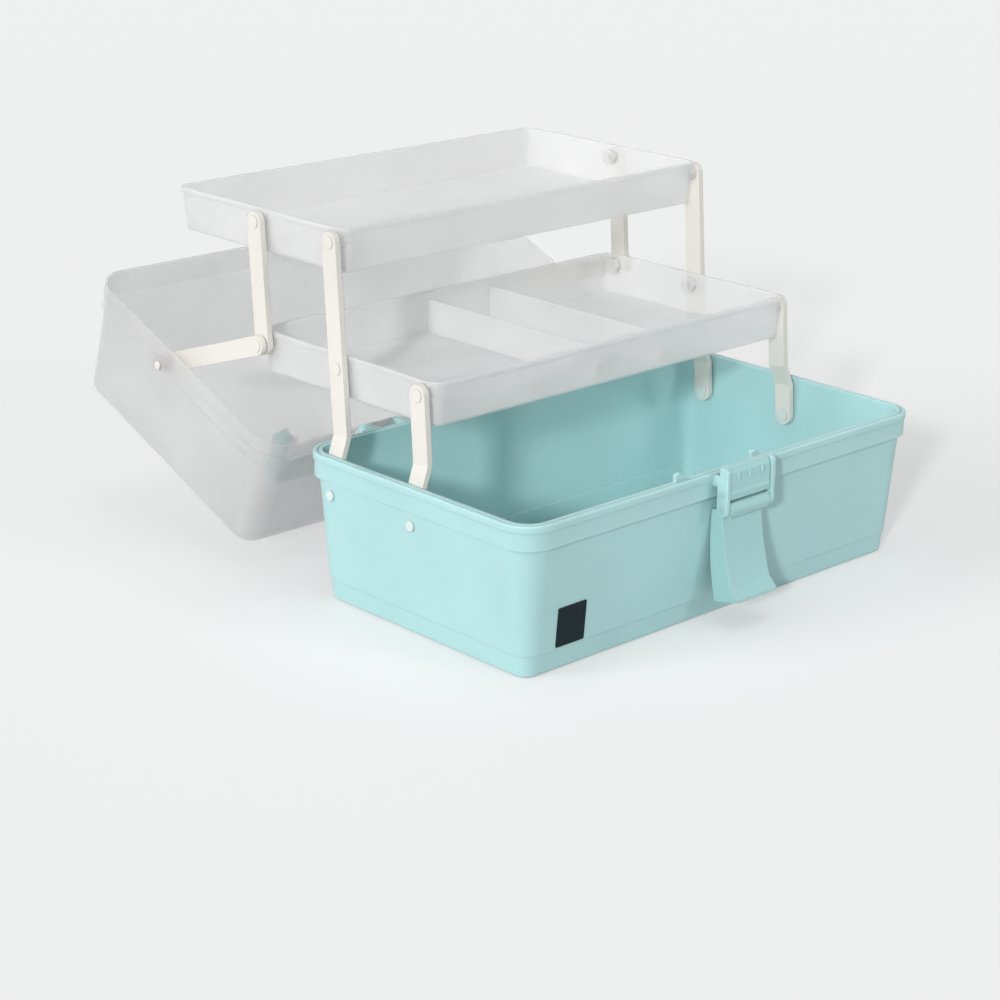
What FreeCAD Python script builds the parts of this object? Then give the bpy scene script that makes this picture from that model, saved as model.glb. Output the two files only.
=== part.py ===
import FreeCAD, Part
import math
import os

# Sewing box with a base, two trays on folding arms, a hinged lid, a latch and a carry handle.
# The model stands open: the lid hangs behind the base and both trays are lifted out.
# Millimetres, X to the right, Y to the rear, Z up, origin under the middle of the base.

V = FreeCAD.Vector
os.makedirs("parts", exist_ok=True)

# Base sizes
base_length = 310.0
base_depth = 169.0
base_height = 91.0
base_corner = 9.0
base_wall = 3.0
base_floor = 5.0
base_draft = 7.6
base_edge_round = 2.0
foot_height = 13.0
foot_step = 0.9
rim_lip_height = 4.2
rim_lip_reach = 2.4
rim_band_height = 10.3
rim_band_reach = 1.7
rim_round = 1.0
rim_groove_inset = 2.1
rim_groove_width = 1.2
rim_groove_depth = 0.9

# Small tabs on the inner front rim
rim_tab_places = (-42.0, 21.0)
rim_tab_width = 12.0
rim_tab_height = 5.0
rim_tab_side_height = 4.0
rim_tab_thickness = 2.0

# Tray sizes
tray_end_gap = 8.0
tray_side_gap = 6.0
tray_height = 26.7
tray_wall = 1.2
tray_floor = 1.2
tray_draft = 2.2
tray_corner = 8.0
tray_edge_round = 2.5
tray_lip_reach = 1.0
tray_lip_height = 3.0
middle_tray_shut_y = 3.4
divider_places = (-17.0, 35.0)
divider_thickness = 1.5
divider_drop = 4.0
divider_gap = 0.4

# Folding arms
arm_width = 12.2
arm_thickness = 3.7
arm_pitch = 72.5
arm_lean = 4.3
arm_pivot_drop = 9.3
arm_rear_inset = 12.6
front_arm_inset = 10.3
short_arm_inset = 9.1
upper_arm_inset = 7.1
arm_tray_gap = 0.6
arm_joggle = 5.3
joggle_start = 20.0
joggle_end = 33.0
tray_pivot_drop = 7.6
stack_gap = 0.5

# Pins of the arms
pin_radius = 2.4
pin_hole_gap = 0.15
pin_seat_gap = 0.05
pin_head_radius = 4.0
pin_head_thickness = 0.6
pin_dome_round = 0.7
base_pin_head_radius = 3.1
pin_show_thickness = 1.2
pin_seat_depth = 5.0
boss_radius = 5.0
boss_depth = 7.0
boss_gap = 0.3

# Lid links
link_width = 11.6
link_thickness = 3.4
link_pin_rise = 16.5
link_lane_gap = 0.9
link_boss_radius = 6.0
link_boss_gap = 0.3
link_pin_head_radius = 2.7
link_pad_rim = 0.8

# Lid sizes, measured with the lid shut
lid_height = 81.0
lid_wall = 1.2
lid_top_wall = 1.2
lid_lip_height = 9.5
lid_lip_reach = 2.6
lid_band_height = 8.5
lid_band_reach = 1.8
lid_draft = 3.6
lid_edge_round = 6.0
lid_seat_gap = 0.3
lid_open_angle = 157.4

# Lid hinges
hinge_reach = 13.0
hinge_drop = 7.0
hinge_places = (-92.0, 92.0)
hinge_radius = 5.5
hinge_ear_thickness = 5.0
hinge_knuckle_width = 16.0
hinge_side_gap = 0.4
hinge_rod_radius = 1.75
hinge_rod_gap = 0.1

# Latch ears, lever and hook plate
latch_pin_reach = 7.0
latch_pin_radius = 1.5
latch_pin_gap = 0.1
latch_face_reach = 2.7
lever_pin_drop = 20.7
hook_pin_drop = 11.3
ear_inner = 17.4
ear_thickness = 2.8
ear_radius = 3.8
ear_top_rise = 4.5
ear_top_back = 2.2
ear_root_drop = 7.0
lever_half_width = 16.6
lever_wall = 2.2
lever_bar_radius = 4.2
lever_face_set_back = 2.6
lever_middle_drop = 27.0
lever_middle_reach = 1.0
lever_crease_drop = 45.5
lever_crease_reach = 6.1
lever_tip_drop = 51.0
lever_tip_reach = 11.7
lever_lip_thickness = 2.0
lever_heel_depth = 10.4
lever_heel_drop = 2.2
lever_sole_depth = 6.0
lever_sole_drop = 56.5
hook_half_width = 16.6
hook_thickness = 2.8
hook_barrel_radius = 3.3
hook_top_rise = 4.8
hook_top_slope = 3.6
hook_nose_height = 1.7
hook_nose_gap = 0.6
lug_half_width = 14.0
lug_reach = 3.1
lug_height = 1.6
lug_rise = 0.3

# Carry handle
handle_span = 124.0
handle_pivot_rise = 7.0
handle_height = 33.0
handle_leg_width = 12.0
handle_leg_thickness = 7.0
handle_grip_thickness = 8.5
handle_edge_round = 2.0
handle_lug_thickness = 4.2
handle_side_gap = 0.4
handle_pin_radius = 2.0
handle_pin_head_radius = 3.6
handle_pin_head_thickness = 1.2

# Places worked out from the sizes
bottom_x = base_length / 2
bottom_y = base_depth / 2
top_x = bottom_x + base_draft
top_y = bottom_y + base_draft
rim_x = top_x + rim_lip_reach
rim_y = top_y + rim_lip_reach
rim_corner = base_corner + base_draft + rim_lip_reach
lip_bottom_z = base_height - rim_lip_height
band_bottom_z = lip_bottom_z - rim_band_height
hinge_y = rim_y + hinge_reach
hinge_z = base_height - hinge_drop
tray_length = base_length - 2 * tray_end_gap
tray_depth = base_depth - 2 * tray_side_gap
arm_inner = tray_length / 2 + arm_tray_gap
arm_outer = arm_inner + arm_thickness
arm_foot_outer = arm_outer + arm_joggle
arm_foot_inner = arm_inner + arm_joggle
lean = math.radians(arm_lean)
shut_lean = math.acos((tray_height + stack_gap) / arm_pitch)
arm_step_y = arm_pitch * math.sin(lean)
arm_step_z = arm_pitch * math.cos(lean)
arm_pivot_height = band_bottom_z - arm_pivot_drop
middle_pivot_z = arm_pivot_height + arm_step_z
upper_pivot_z = middle_pivot_z + arm_step_z
middle_tray_centre = middle_tray_shut_y + arm_pitch * math.sin(shut_lean) + arm_step_y
long_arm_pivot_y = bottom_y - arm_rear_inset
long_middle_y = long_arm_pivot_y + arm_step_y
long_upper_y = long_middle_y + arm_step_y
front_middle_y = middle_tray_centre - tray_depth / 2 + front_arm_inset
front_arm_pivot_y = front_middle_y - arm_step_y
short_middle_y = middle_tray_centre + tray_depth / 2 - short_arm_inset
short_upper_y = short_middle_y + arm_step_y
upper_tray_centre = long_upper_y + tray_depth / 2 - upper_arm_inset
middle_rim_z = middle_pivot_z + tray_pivot_drop
upper_rim_z = upper_pivot_z + tray_pivot_drop
lid_bottom_z = base_height + lid_seat_gap
lid_lip_top_z = lid_bottom_z + lid_lip_height
lid_band_top_z = lid_lip_top_z + lid_band_height
lid_join_z = lid_band_top_z - rim_round
lid_band_x = rim_x - lid_lip_reach + lid_band_reach
lid_top_z = base_height + lid_height
latch_pin_y = -rim_y - latch_pin_reach
lever_pin_height = base_height - lever_pin_drop
hook_pin_height = base_height - hook_pin_drop


def rotated(y, z, degrees):
    """Turn a point of the side view about the hinge, positive from the rear over the top to the front."""
    angle = math.radians(degrees)
    dy = y - hinge_y
    dz = z - hinge_z
    turned_y = hinge_y + dy * math.cos(angle) - dz * math.sin(angle)
    turned_z = hinge_z + dy * math.sin(angle) + dz * math.cos(angle)
    return turned_y, turned_z


def lid_link_place():
    """Place of the link's pin in the shut lid: as far from the short arm's foot open as shut."""
    shut_y = short_middle_y - arm_step_y - arm_pitch * math.sin(shut_lean)
    shut_z = arm_pivot_height + arm_pitch * math.cos(shut_lean)
    open_y, open_z = rotated(short_middle_y, middle_pivot_z, lid_open_angle)
    pin_z = lid_bottom_z + link_pin_rise
    above = pin_z - (shut_z + open_z) / 2
    pin_y = (shut_y + open_y) / 2 - above * (shut_z - open_z) / (shut_y - open_y)
    return pin_y, pin_z


link_pin_y, link_pin_z = lid_link_place()
link_open_y, link_open_z = rotated(link_pin_y, link_pin_z, -lid_open_angle)
link_inner = arm_outer + link_lane_gap
link_outer = link_inner + link_thickness
lid_boss_start = link_outer + link_boss_gap
lid_pin_start = lid_boss_start + pin_head_thickness


def rounded_wire(half_x, half_y, radius, z):
    """Closed rectangle with round corners, level at z."""
    points = [(half_x, half_y), (-half_x, half_y), (-half_x, -half_y), (half_x, -half_y)]
    edges = []
    for index, (x, y) in enumerate(points):
        sx = math.copysign(1, x)
        sy = math.copysign(1, y)
        centre = V(x - sx * radius, y - sy * radius, z)
        start_angle = math.radians(90 * index)
        middle = start_angle + math.radians(45)
        end_angle = start_angle + math.radians(90)
        arc_points = [centre + V(radius * math.cos(a), radius * math.sin(a), 0)
                      for a in (start_angle, middle, end_angle)]
        edges.append(Part.Arc(*arc_points).toShape())
        next_x, next_y = points[(index + 1) % 4]
        next_sx = math.copysign(1, next_x)
        next_sy = math.copysign(1, next_y)
        next_centre = V(next_x - next_sx * radius, next_y - next_sy * radius, z)
        next_start = next_centre + V(radius * math.cos(end_angle), radius * math.sin(end_angle), 0)
        edges.append(Part.LineSegment(arc_points[2], next_start).toShape())
    return Part.Wire(edges)


def tapered(low, high):
    """Solid between two level rounded rectangles, each given as half length, half depth, corner, z."""
    return Part.makeLoft([rounded_wire(*low), rounded_wire(*high)], True, True)


def level_edges(shape, z):
    """Edges of a shape that lie level at z."""
    found = []
    for edge in shape.Edges:
        if all(abs(vertex.Z - z) < 0.001 for vertex in edge.Vertexes):
            found.append(edge)
    return found


def across_edges(shape, z):
    """Level edges at z that run from the front to the rear."""
    return [edge for edge in level_edges(shape, z)
            if abs(edge.Vertexes[0].X - edge.Vertexes[-1].X) < 0.001]


def along_x(shape, x0, x1):
    """Extrude a face of the side view, drawn at x = 0, from x0 to x1."""
    moved = shape.translated(V(x0, 0, 0))
    return moved.extrude(V(x1 - x0, 0, 0))


def side_polygon(points):
    """Face in the side view from (y, z) points."""
    vectors = [V(0, y, z) for y, z in points]
    return Part.Face(Part.makePolygon(vectors + [vectors[0]]))


def rod(radius, x0, x1, y, z):
    """Round bar along X."""
    low, high = sorted((x0, x1))
    return Part.makeCylinder(radius, high - low, V(low, y, z), V(1, 0, 0))


def stadium(y0, z0, y1, z1, width, x0, x1):
    """Flat bar with round ends between two pivots of the side view, from x0 to x1."""
    dy = y1 - y0
    dz = z1 - z0
    length = math.hypot(dy, dz)
    side_y = -dz / length * width / 2
    side_z = dy / length * width / 2
    end_y = dy / length * width / 2
    end_z = dz / length * width / 2
    a = V(0, y0 + side_y, z0 + side_z)
    b = V(0, y0 - end_y, z0 - end_z)
    c = V(0, y0 - side_y, z0 - side_z)
    d = V(0, y1 - side_y, z1 - side_z)
    e = V(0, y1 + end_y, z1 + end_z)
    f = V(0, y1 + side_y, z1 + side_z)
    edges = [Part.Arc(a, b, c).toShape(), Part.LineSegment(c, d).toShape(),
             Part.Arc(d, e, f).toShape(), Part.LineSegment(f, a).toShape()]
    low, high = sorted((x0, x1))
    return along_x(Part.Face(Part.Wire(edges)), low, high)


def opened(shape):
    """Swing a shape of the shut lid to where the open lid lies."""
    turned = shape.copy()
    turned.rotate(V(0, hinge_y, hinge_z), V(1, 0, 0), -lid_open_angle)
    return turned


def both_sides(shape):
    """A shape and its mirror image at the other end of the box."""
    return [shape, shape.mirror(V(0, 0, 0), V(1, 0, 0))]


def save(shapes, name):
    """Write one node from one or more solids."""
    if not isinstance(shapes, list):
        shapes = [shapes]
    solids = [solid for shape in shapes for solid in shape.Solids]
    for solid in solids:
        if not solid.isValid():
            print("not valid:", name)
    whole = solids[0] if len(solids) == 1 else Part.makeCompound(solids)
    whole.exportStep("parts/" + name + ".step")
    volume = sum(solid.Volume for solid in solids)
    print(f"{name}: {len(solids)} solids, {volume / 1000:.1f} cm3")


def wall_reach(z):
    """How far the base's outer wall stands beyond its foot at height z."""
    return base_draft * z / base_height


def wall_section(z, inset):
    """Level rounded rectangle at height z, this far inside the base's outer wall."""
    reach = wall_reach(z) - inset
    return bottom_x + reach, bottom_y + reach, base_corner + reach, z


def base_shell():
    """Base box: drafted walls with a step near the foot and a two-tier band around the rim."""
    foot = tapered(wall_section(0, foot_step), wall_section(foot_height, foot_step))
    foot = foot.makeFillet(base_edge_round, level_edges(foot, 0))
    body = foot.fuse(tapered(wall_section(foot_height, 0), wall_section(base_height, 0)))
    lip = tapered((rim_x, rim_y, rim_corner, lip_bottom_z), (rim_x, rim_y, rim_corner, base_height))
    lip = lip.makeFillet(rim_round, level_edges(lip, base_height))
    band_x = top_x + rim_band_reach
    band_y = top_y + rim_band_reach
    band_corner = base_corner + base_draft + rim_band_reach
    band = tapered((band_x, band_y, band_corner, band_bottom_z),
                   (band_x, band_y, band_corner, lip_bottom_z))
    body = body.fuse([lip, band])
    return body


def base_hollow():
    """Space inside the base, with the same step near the foot as the outside."""
    step_z = foot_height + base_wall
    foot_inset = foot_step + base_wall
    foot = tapered(wall_section(base_floor, foot_inset), wall_section(step_z, foot_inset))
    foot = foot.makeFillet(base_edge_round - foot_step, level_edges(foot, base_floor))
    above = tapered(wall_section(step_z, base_wall), wall_section(base_height + base_wall, base_wall))
    return foot.fuse(above)


def rim_groove():
    """Thin groove in the rim's top face, all the way round."""
    floor_z = base_height - rim_groove_depth
    over_z = base_height + rim_groove_depth
    sizes = []
    for inset in (rim_groove_inset, rim_groove_inset + rim_groove_width):
        sizes.append((rim_x - inset, rim_y - inset, rim_corner - inset))
    outer, inner = [tapered(size + (floor_z,), size + (over_z,)) for size in sizes]
    return outer.cut(inner)


def rim_tab(x):
    """Small upright triangle on the inner edge of the front rim."""
    face_y = -top_y + base_wall
    root_z = base_height - rim_tab_height / 2
    points = [V(x - rim_tab_width / 2, face_y, root_z), V(x + rim_tab_width / 2, face_y, root_z),
              V(x + rim_tab_width / 2, face_y, base_height),
              V(x - rim_tab_width / 4, face_y, base_height + rim_tab_height),
              V(x - rim_tab_width / 2, face_y, base_height + rim_tab_side_height)]
    face = Part.Face(Part.makePolygon(points + [points[0]]))
    return face.extrude(V(0, -rim_tab_thickness, 0))


def hinge_ears():
    """Pairs of ears behind the rear rim that hold the hinge rods."""
    ears = []
    root_y = top_y - base_wall / 2
    for place in hinge_places:
        for side in (-1, 1):
            inner = place + side * (hinge_knuckle_width / 2 + hinge_side_gap)
            outer = inner + side * hinge_ear_thickness
            low, high = sorted((inner, outer))
            ear = along_x(side_polygon([(root_y, hinge_z - hinge_radius), (hinge_y, hinge_z - hinge_radius),
                                        (hinge_y, hinge_z + hinge_radius),
                                        (root_y, hinge_z + hinge_radius)]), low, high)
            ear = ear.fuse(rod(hinge_radius, low, high, hinge_y, hinge_z))
            ear = ear.cut(rod(hinge_rod_radius, low, high, hinge_y, hinge_z))
            ears.append(ear)
    return ears


def latch_ears():
    """Two upright ears on the front rim that hold the pins of the lever and the hook plate."""
    ears = []
    inside_y = -top_y + base_wall / 2
    front_y = latch_pin_y - ear_radius
    back_y = latch_pin_y + ear_radius
    top_back_y = latch_pin_y + ear_top_back
    top_z = base_height + ear_top_rise
    root_z = base_height - ear_root_drop
    chamfer = ear_radius / 2
    side_view = side_polygon([(front_y, lever_pin_height), (front_y, top_z - chamfer),
                              (front_y + chamfer, top_z), (top_back_y, top_z),
                              (top_back_y, base_height - rim_round), (inside_y, base_height - rim_round),
                              (inside_y, root_z), (back_y, root_z), (back_y, lever_pin_height)])
    bottom = rod(ear_radius, 0, ear_thickness, latch_pin_y, lever_pin_height)
    plate = along_x(side_view, 0, ear_thickness).fuse(bottom)
    for height in (lever_pin_height, hook_pin_height):
        plate = plate.cut(rod(latch_pin_radius, 0, ear_thickness, latch_pin_y, height))
    for x0 in (ear_inner, -ear_inner - ear_thickness):
        ears.append(plate.translated(V(x0, 0, 0)))
    return ears


def pin_outer_x():
    """Outer face of the base's end wall where it reaches furthest under an arm pin's head."""
    return bottom_x + wall_reach(arm_pivot_height + base_pin_head_radius) + pin_seat_gap


def base_box():
    """The whole base with its pin holes, tabs, hinge ears and latch ears."""
    body = base_shell()
    body = body.cut(rim_groove())
    body = body.fuse(hinge_ears() + latch_ears())
    body = body.cut(base_hollow())
    body = body.fuse([rim_tab(place) for place in rim_tab_places])
    holes = []
    for y in (long_arm_pivot_y, front_arm_pivot_y):
        holes += both_sides(rod(pin_radius + pin_seat_gap, arm_foot_inner, rim_x, y, arm_pivot_height))
    return body.cut(holes).removeSplitter()


def tray(centre_y, rim_z, pivots):
    """Open tray with a lip at its rim and a boss at each pivot."""
    half_x = tray_length / 2 - tray_lip_reach
    half_y = tray_depth / 2 - tray_lip_reach
    floor_z = rim_z - tray_height
    body = tapered((half_x - tray_draft, half_y - tray_draft, tray_corner - tray_draft, floor_z),
                   (half_x, half_y, tray_corner, rim_z))
    body = body.makeFillet(tray_edge_round, level_edges(body, floor_z))
    lip_corner = tray_corner + tray_lip_reach
    lip = tapered((tray_length / 2, tray_depth / 2, lip_corner, rim_z - tray_lip_height),
                  (tray_length / 2, tray_depth / 2, lip_corner, rim_z))
    body = body.fuse(lip)
    hollow_low = (half_x - tray_draft - tray_wall, half_y - tray_draft - tray_wall,
                  tray_corner - tray_draft - tray_wall, floor_z + tray_floor)
    hollow_high = (half_x - tray_wall, half_y - tray_wall, tray_corner - tray_wall, rim_z + tray_floor)
    hollow = tapered(hollow_low, hollow_high)
    hollow = hollow.makeFillet(tray_edge_round - tray_wall, level_edges(hollow, floor_z + tray_floor))
    body = body.cut(hollow)
    body.translate(V(0, centre_y, 0))
    boss_outer = arm_inner - boss_gap
    pivot_z = rim_z - tray_pivot_drop
    for y in pivots:
        boss = rod(boss_radius, boss_outer - boss_depth, boss_outer, y, pivot_z)
        hole = rod(pin_radius + pin_seat_gap, boss_outer - pin_seat_depth, boss_outer, y, pivot_z)
        body = body.fuse(both_sides(boss)).cut(both_sides(hole))
    return body.removeSplitter()


def tray_dividers(centre_y, rim_z):
    """Cross plates that stand on the tray's floor."""
    floor_z = rim_z - tray_height + tray_floor
    top_z = rim_z - divider_drop
    low_y = tray_depth / 2 - tray_lip_reach - tray_draft - tray_wall - tray_edge_round - divider_gap
    inner_y = tray_depth / 2 - tray_lip_reach - tray_draft - tray_wall - divider_gap
    plates = []
    for place in divider_places:
        points = [(centre_y - low_y, floor_z), (centre_y + low_y, floor_z),
                  (centre_y + inner_y, floor_z + tray_edge_round), (centre_y + inner_y, top_z),
                  (centre_y - inner_y, top_z), (centre_y - inner_y, floor_z + tray_edge_round)]
        x0 = place - divider_thickness / 2
        plates.append(along_x(side_polygon(points), x0, x0 + divider_thickness))
    return plates


def arm(y, z, pitches, joggled):
    """Flat arm on the right from its lower pivot (y, z), leaning back, with a hole at each pivot."""
    length = pitches * arm_pitch
    width = arm_width
    low = -width
    high = length + width
    if joggled:
        outer = [(low, arm_foot_outer), (joggle_start, arm_foot_outer), (joggle_end, arm_outer),
                 (high, arm_outer)]
        inner = [(high, arm_inner), (joggle_end, arm_inner), (joggle_start, arm_foot_inner),
                 (low, arm_foot_inner)]
    else:
        outer = [(low, arm_outer), (high, arm_outer)]
        inner = [(high, arm_inner), (low, arm_inner)]
    points = [V(x, -width, s) for s, x in outer + inner]
    band = Part.Face(Part.makePolygon(points + [points[0]])).extrude(V(0, 2 * width, 0))
    body = band.common(stadium(0, 0, 0, length, width, arm_inner, arm_foot_outer))
    for index in range(pitches + 1):
        hole = rod(pin_radius + pin_hole_gap, arm_inner, arm_foot_outer, 0, index * arm_pitch)
        body = body.cut(hole)
    body.rotate(V(0, 0, 0), V(1, 0, 0), -arm_lean)
    body.translate(V(0, y, z))
    return body


def lid_link():
    """Straight bar on the right from the short arm's foot to the pin of the open lid."""
    body = stadium(short_middle_y, middle_pivot_z, link_open_y, link_open_z, link_width,
                   link_inner, link_outer)
    foot_hole = rod(pin_radius + pin_hole_gap, link_inner, link_outer, short_middle_y, middle_pivot_z)
    lid_hole = rod(pin_radius + pin_seat_gap, link_inner, link_outer, link_open_y, link_open_z)
    return body.cut([foot_hole, lid_hole])


def domed_head(radius, face_x, y, z):
    """Round pin head that stands on an outer face, with a rounded edge."""
    end_x = face_x + pin_show_thickness
    head = rod(radius, face_x, end_x, y, z)
    rims = [edge for edge in head.Edges if all(abs(vertex.X - end_x) < 0.001 for vertex in edge.Vertexes)]
    return head.makeFillet(pin_dome_round, rims)


def base_arm_pin(y):
    """Pin through the base's end wall and an arm's foot, with a head at each end."""
    outer_face = pin_outer_x()
    inner_head = arm_foot_inner - boss_gap
    shank = rod(pin_radius, inner_head, outer_face, y, arm_pivot_height)
    inner = rod(pin_head_radius, inner_head - pin_head_thickness, inner_head, y, arm_pivot_height)
    outer = domed_head(base_pin_head_radius, outer_face, y, arm_pivot_height)
    return shank.fuse([inner, outer]).removeSplitter()


def tray_pin(y, z, face_x):
    """Pin from a tray's boss through what lies on it, with a thin head on the face at face_x."""
    start = arm_inner - boss_gap - pin_seat_depth
    shank = rod(pin_radius, start, face_x + pin_hole_gap, y, z)
    head = rod(pin_head_radius, face_x + pin_hole_gap, face_x + pin_head_thickness, y, z)
    return shank.fuse(head).removeSplitter()


def lid_link_rivet():
    """Rivet in the link's lid end, with its head on the inner side, flush outside."""
    shank = rod(pin_radius, link_inner - pin_hole_gap, link_outer, link_open_y, link_open_z)
    head = rod(pin_head_radius, link_inner - pin_head_thickness, link_inner - pin_hole_gap,
               link_open_y, link_open_z)
    return shank.fuse(head).removeSplitter()


def lid_section(z, inset):
    """Level rounded rectangle of the shut lid at height z, this far inside the rim."""
    lean_in = lid_draft * max(z - lid_join_z, 0) / (lid_top_z - lid_join_z)
    reach = -inset - lean_in
    return rim_x + reach, rim_y + reach, rim_corner + reach, z


def lid_outside():
    """Outer shape of the shut lid: drafted walls above a band and a lip around its rim."""
    shell = tapered(lid_section(lid_join_z, lid_lip_reach), lid_section(lid_top_z, lid_lip_reach))
    shell = shell.makeFillet(lid_edge_round, level_edges(shell, lid_top_z))
    band_inset = lid_lip_reach - lid_band_reach
    band = tapered(lid_section(lid_lip_top_z - rim_round, band_inset),
                   lid_section(lid_band_top_z, band_inset))
    lip = tapered(lid_section(lid_bottom_z, 0), lid_section(lid_lip_top_z, 0))
    lip = lip.makeFillet(rim_round, level_edges(lip, lid_lip_top_z))
    return shell.fuse([band, lip])


def lid_hollow():
    """Space inside the shut lid."""
    inner_top = lid_top_z - lid_top_wall
    inset = lid_lip_reach + lid_wall
    hollow = tapered(lid_section(lid_join_z, inset), lid_section(inner_top, inset))
    hollow = hollow.makeFillet(lid_edge_round - lid_wall, level_edges(hollow, inner_top))
    skirt = tapered(lid_section(lid_bottom_z - rim_round, lid_wall), lid_section(lid_join_z, inset))
    return hollow.fuse(skirt)


def lid_knuckles():
    """Knuckles that reach down from the lid's rear skirt around the hinge rods."""
    knuckles = []
    root_y = rim_y - lid_wall / 2
    root_top = lid_lip_top_z - rim_round
    for place in hinge_places:
        x0 = place - hinge_knuckle_width / 2
        x1 = place + hinge_knuckle_width / 2
        knuckle = along_x(side_polygon([(root_y, lid_bottom_z + lid_seat_gap),
                                        (hinge_y, hinge_z - hinge_radius / 2),
                                        (hinge_y + hinge_radius, hinge_z), (root_y, root_top)]), x0, x1)
        knuckle = knuckle.fuse(rod(hinge_radius, x0, x1, hinge_y, hinge_z))
        knuckle = knuckle.cut(rod(hinge_rod_radius + hinge_rod_gap, x0, x1, hinge_y, hinge_z))
        knuckles.append(knuckle)
    return knuckles


def lid_link_bosses():
    """Round bosses inside the lid's ends that face the links, with small pads outside."""
    boss = rod(link_boss_radius, lid_boss_start, rim_x, link_pin_y, link_pin_z)
    boss = boss.common(lid_outside())
    pad_radius = link_pin_head_radius + link_pad_rim
    pad = rod(pad_radius, lid_boss_start, lid_band_x, link_pin_y, link_pin_z)
    return both_sides(boss.fuse(pad))


def lid_link_pins():
    """Pins in the lid's bosses, with a domed round head on the lid's outer end faces."""
    shank = rod(pin_radius, lid_pin_start, lid_band_x, link_pin_y, link_pin_z)
    head = domed_head(link_pin_head_radius, lid_band_x, link_pin_y, link_pin_z)
    return both_sides(shank.fuse(head).removeSplitter())


def handle_lugs():
    """Upright lugs on the lid's top panel that carry the handle."""
    x1 = handle_span / 2 - handle_leg_thickness / 2 - handle_side_gap
    x0 = x1 - handle_lug_thickness
    pivot_z = lid_top_z + handle_pivot_rise
    radius = handle_leg_width / 2
    root_z = lid_top_z - lid_top_wall / 2
    lug = along_x(side_polygon([(-radius, root_z), (radius, root_z), (radius, pivot_z), (-radius, pivot_z)]),
                  x0, x1)
    lug = lug.fuse(rod(radius, x0, x1, 0, pivot_z))
    lug = lug.cut(rod(handle_pin_radius, x0, x1, 0, pivot_z))
    return both_sides(lug)


def hook_lug():
    """Ledge on the lid's front skirt that the hook plate catches."""
    low = lid_bottom_z + lug_rise
    points = [(-rim_y + lid_wall / 2, low), (-rim_y - lug_reach, low + lug_height / 3),
              (-rim_y - lug_reach, low + lug_height), (-rim_y + lid_wall / 2, low + lug_height)]
    return along_x(side_polygon(points), -lug_half_width, lug_half_width)


def lid():
    """Whole lid, swung open."""
    body = lid_outside().cut(lid_hollow())
    body = body.fuse(lid_knuckles() + lid_link_bosses() + handle_lugs() + [hook_lug()])
    hole = rod(pin_radius + pin_seat_gap, lid_pin_start, rim_x, link_pin_y, link_pin_z)
    body = body.cut(both_sides(hole))
    return opened(body.removeSplitter())


def hinge_rods():
    """Steel rods through the hinge ears and the lid's knuckles."""
    reach = hinge_knuckle_width / 2 + hinge_side_gap + hinge_ear_thickness
    return [rod(hinge_rod_radius, place - reach, place + reach, hinge_y, hinge_z) for place in hinge_places]


def latch_rod(height):
    """Thin pin through both latch ears."""
    reach = ear_inner + ear_thickness
    return rod(latch_pin_radius, -reach, reach, latch_pin_y, height)


def lever_front(set_back):
    """Curved front of the lever's side view, this far behind its face."""
    y = latch_pin_y + set_back
    z = lever_pin_height
    return Part.Arc(V(0, y + lever_face_set_back, z - lever_bar_radius),
                    V(0, y - lever_middle_reach, z - lever_middle_drop),
                    V(0, y - lever_crease_reach, z - lever_crease_drop)).toShape()


def lever_block():
    """Lever without its hollow: flared front, finger lip, sole and curved rear edge."""
    y = latch_pin_y
    z = lever_pin_height
    front = lever_front(0)
    tip_z = z - lever_tip_drop
    sole = V(0, y + lever_sole_depth, z - lever_sole_drop)
    heel = V(0, y + lever_heel_depth, z - lever_heel_drop)
    belly = V(0, y + lever_heel_depth, (sole.z + heel.z) / 2)
    lip = [V(0, y - lever_crease_reach, z - lever_crease_drop), V(0, y - lever_tip_reach, tip_z),
           V(0, y - lever_tip_reach, tip_z - lever_lip_thickness), sole]
    top = [heel, V(0, y, z), V(0, y + lever_face_set_back, z - lever_bar_radius)]
    edges = [front, Part.makePolygon(lip), Part.Arc(sole, belly, heel).toShape(), Part.makePolygon(top)]
    outline = Part.Wire([edge for piece in edges for edge in piece.Edges])
    return along_x(Part.Face(outline), -lever_half_width, lever_half_width)


def lever_hollow():
    """Space inside the lever, open to the rear."""
    y = latch_pin_y
    z = lever_pin_height
    front_low_y = y - lever_crease_reach + lever_wall
    rear_y = y + lever_heel_depth + lever_wall
    floor_z = z - lever_tip_drop
    rest = Part.makePolygon([V(0, front_low_y, z - lever_crease_drop), V(0, front_low_y, floor_z),
                             V(0, rear_y, z - lever_sole_drop + lever_wall),
                             V(0, rear_y, z - lever_bar_radius),
                             V(0, y + lever_face_set_back + lever_wall, z - lever_bar_radius)])
    outline = Part.Wire(lever_front(lever_wall).Edges + rest.Edges)
    half = lever_half_width - lever_wall
    return along_x(Part.Face(outline), -half, half)


def latch_lever():
    """Lever that hangs below the ears: a channel that is open to the rear, under a flat-faced bar."""
    half = lever_half_width
    y = latch_pin_y
    z = lever_pin_height
    body = lever_block().cut(lever_hollow())
    bar = Part.makeBox(2 * half, latch_face_reach, 2 * lever_bar_radius,
                       V(-half, y - latch_face_reach, z - lever_bar_radius))
    body = body.fuse([bar, rod(lever_bar_radius, -half, half, y, z)])
    return body.cut(rod(latch_pin_radius + latch_pin_gap, -half, half, y, z)).removeSplitter()


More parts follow.
